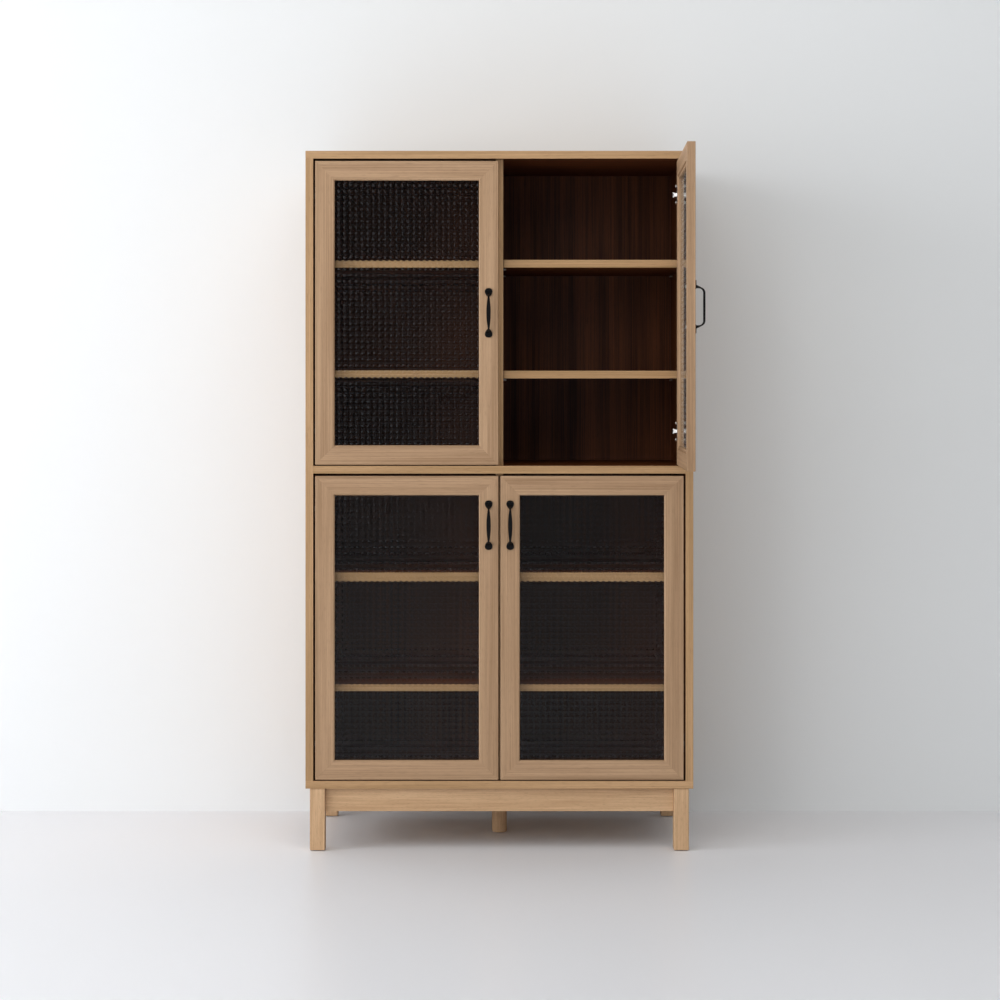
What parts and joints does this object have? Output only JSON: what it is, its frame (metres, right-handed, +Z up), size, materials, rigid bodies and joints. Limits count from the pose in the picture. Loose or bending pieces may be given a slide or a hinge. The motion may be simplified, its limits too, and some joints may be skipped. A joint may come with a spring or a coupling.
{
  "type": "kitchen_cabinet",
  "caption": "Tall mizuya kitchen cabinet: oak-faced case on square legs, dark walnut inside, glazed double doors above and below, shelves and black bow handles",
  "frame": {"origin": "on the floor under the middle of the cabinet", "axes": "+X to the right of someone facing the doors, +Y to the back, +Z up"},
  "size_m": [0.9, 0.8626, 1.625],
  "materials": {
    "oak_foil_board": "matte oak grain foil on particle board",
    "walnut_foil_board": "matte dark walnut grain foil on particle board",
    "walnut_back_board": "matte dark walnut print on thin fibreboard",
    "oak_leg_wood": "satin clear lacquer",
    "checker_glass": "pressed checker pattern",
    "black_iron": "satin black paint",
    "nickel_plated_steel": "bright nickel plate",
    "felt_grey_plastic": "moulded"
  },
  "bodies": {
    "carcass": {"top_panel": "oak_foil_board", "bottom_panel": "oak_foil_board", "middle_panel": "oak_foil_board", "left_side_panel": "oak_foil_board", "right_side_panel": "oak_foil_board", "upper_partition": "oak_foil_board", "lower_partition": "oak_foil_board", "upper_left_upper_shelf": "walnut_foil_board", "upper_left_lower_shelf": "walnut_foil_board", "upper_right_upper_shelf": "walnut_foil_board", "upper_right_lower_shelf": "walnut_foil_board", "lower_left_upper_shelf": "walnut_foil_board", "lower_left_lower_shelf": "walnut_foil_board", "lower_right_upper_shelf": "walnut_foil_board", "lower_right_lower_shelf": "walnut_foil_board", "upper_back_panel": "walnut_back_board", "lower_back_panel": "walnut_back_board", "front_left_leg": "oak_leg_wood", "front_right_leg": "oak_leg_wood", "rear_left_leg": "oak_leg_wood", "rear_right_leg": "oak_leg_wood", "centre_leg": "oak_leg_wood", "front_rail": "oak_leg_wood", "rear_rail": "oak_leg_wood", "side_rails": "oak_leg_wood", "shelf_pins": "nickel_plated_steel", "hinge_arms": "nickel_plated_steel", "hinge_mounting_plates": "nickel_plated_steel", "hinge_plate_screws": "nickel_plated_steel", "leg_bolts": "nickel_plated_steel", "leg_glides": "felt_grey_plastic"},
    "upper_left_door": {"upper_left_door_frame": "oak_foil_board", "upper_left_glass": "checker_glass", "upper_left_glazing_beads": "walnut_foil_board", "upper_left_handle": "black_iron", "upper_left_handle_screws": "nickel_plated_steel", "upper_left_hinge_cups": "nickel_plated_steel"},
    "upper_right_door": {"upper_right_door_frame": "oak_foil_board", "upper_right_glass": "checker_glass", "upper_right_glazing_beads": "walnut_foil_board", "upper_right_handle": "black_iron", "upper_right_handle_screws": "nickel_plated_steel", "upper_right_hinge_cups": "nickel_plated_steel"},
    "lower_left_door": {"lower_left_door_frame": "oak_foil_board", "lower_left_glass": "checker_glass", "lower_left_glazing_beads": "walnut_foil_board", "lower_left_handle": "black_iron", "lower_left_handle_screws": "nickel_plated_steel", "lower_left_hinge_cups": "nickel_plated_steel"},
    "lower_right_door": {"lower_right_door_frame": "oak_foil_board", "lower_right_glass": "checker_glass", "lower_right_glazing_beads": "walnut_foil_board", "lower_right_handle": "black_iron", "lower_right_handle_screws": "nickel_plated_steel", "lower_right_hinge_cups": "nickel_plated_steel"},
    "upper_left_links": {"upper_left_hinge_links": "nickel_plated_steel"},
    "upper_right_links": {"upper_right_hinge_links": "nickel_plated_steel"},
    "lower_left_links": {"lower_left_hinge_links": "nickel_plated_steel"},
    "lower_right_links": {"lower_right_hinge_links": "nickel_plated_steel"}
  },
  "joints": [
    {"name": "upper_left_door_hinge", "type": "hinge", "parent": "carcass", "child": "upper_left_door", "pos_m": [-0.4228, -0.2173, 1.249], "axis": [0, 0, -1], "range_deg": [0, 95]},
    {"name": "upper_left_link_pivot", "type": "hinge", "parent": "carcass", "child": "upper_left_links", "pos_m": [-0.40571, -0.21328, 1.249], "axis": [0, 0, -1], "range_deg": [-71.6, 0.5]},
    {"name": "upper_right_door_hinge", "type": "hinge", "parent": "carcass", "child": "upper_right_door", "pos_m": [0.4228, -0.2173, 1.249], "axis": [0, 0, 1], "range_deg": [-88.4, 6.6]},
    {"name": "upper_right_link_pivot", "type": "hinge", "parent": "carcass", "child": "upper_right_links", "pos_m": [0.40571, -0.21328, 1.249], "axis": [0, 0, 1], "range_deg": [-5.5, 66.6]},
    {"name": "lower_left_door_hinge", "type": "hinge", "parent": "carcass", "child": "lower_left_door", "pos_m": [-0.4228, -0.2173, 0.518], "axis": [0, 0, -1], "range_deg": [0, 95]},
    {"name": "lower_left_link_pivot", "type": "hinge", "parent": "carcass", "child": "lower_left_links", "pos_m": [-0.40571, -0.21328, 0.518], "axis": [0, 0, -1], "range_deg": [-71.6, 0.5]},
    {"name": "lower_right_door_hinge", "type": "hinge", "parent": "carcass", "child": "lower_right_door", "pos_m": [0.4228, -0.2173, 0.518], "axis": [0, 0, 1], "range_deg": [0, 95]},
    {"name": "lower_right_link_pivot", "type": "hinge", "parent": "carcass", "child": "lower_right_links", "pos_m": [0.40571, -0.21328, 0.518], "axis": [0, 0, 1], "range_deg": [-71.6, 0.5]}
  ],
  "couplings": [
    {"joint": "upper_left_link_pivot", "follows": "upper_left_door_hinge", "ratio": -0.7507},
    {"joint": "upper_right_link_pivot", "follows": "upper_right_door_hinge", "ratio": -0.7507},
    {"joint": "lower_left_link_pivot", "follows": "lower_left_door_hinge", "ratio": -0.7507},
    {"joint": "lower_right_link_pivot", "follows": "lower_right_door_hinge", "ratio": -0.7507}
  ]
}
